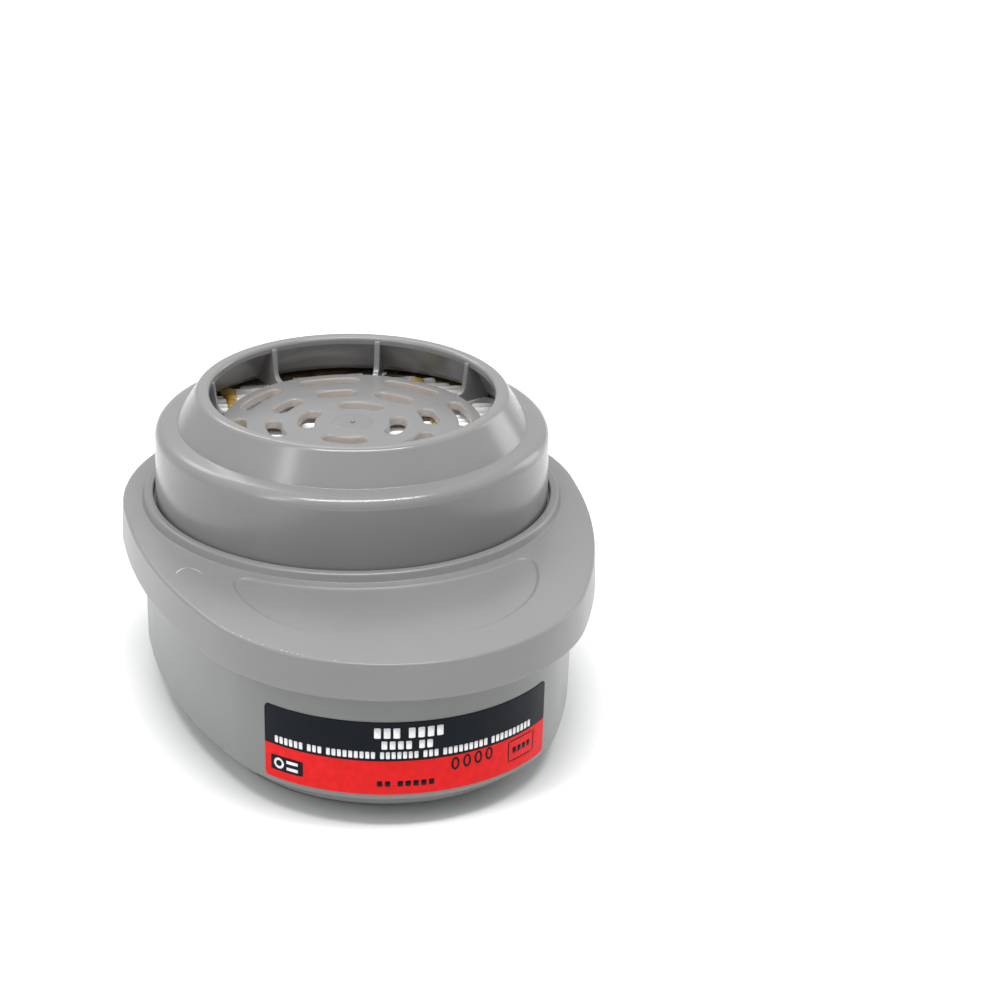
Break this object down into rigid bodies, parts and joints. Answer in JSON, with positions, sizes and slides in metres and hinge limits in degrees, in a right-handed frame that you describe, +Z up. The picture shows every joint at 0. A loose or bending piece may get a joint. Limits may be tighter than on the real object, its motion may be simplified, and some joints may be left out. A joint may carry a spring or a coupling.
{
  "type": "combination respirator cartridge",
  "caption": "Egg-shaped chemical cartridge for an air-purifying respirator, with a round particulate filter, slotted air inlet and a bayonet connector underneath.",
  "frame": {"origin": "on the connector's seating face, on the mirror plane, midway along the lid", "axes": "+Z up to the air inlet, -Y towards the label and the nose, +X to the right seen from the label"},
  "size_m": [0.0868, 0.1156, 0.0556],
  "materials": {
    "cup_plastic": "semi-gloss moulded, cool grey",
    "lid_plastic": "semi-gloss moulded, warm grey",
    "shell_plastic": "semi-gloss moulded, neutral grey",
    "grid_plastic": "natural moulded",
    "felt": "nonwoven",
    "carbon": "granular",
    "filter_paper": "pleated glass-fibre paper",
    "hot_melt": "glossy amber",
    "sealant": "cured adhesive",
    "label_film": "printed film, black over red"
  },
  "bodies": {
    "root": {"cup_body": "cup_plastic", "bayonet_connector": "cup_plastic", "outlet_grid": "grid_plastic", "outlet_pad": "felt", "carbon_bed": "carbon", "inlet_pad": "felt", "retainer_plate": "grid_plastic", "cover": "lid_plastic", "cover_seal_bead": "sealant", "filter_shell": "shell_plastic", "shell_seal_bead": "sealant", "pleated_media": "filter_paper", "potting_ring": "hot_melt", "separator_bead_left": "hot_melt", "separator_bead_centre": "hot_melt", "separator_bead_right": "hot_melt", "label": "label_film"}
  },
  "joints": []
}
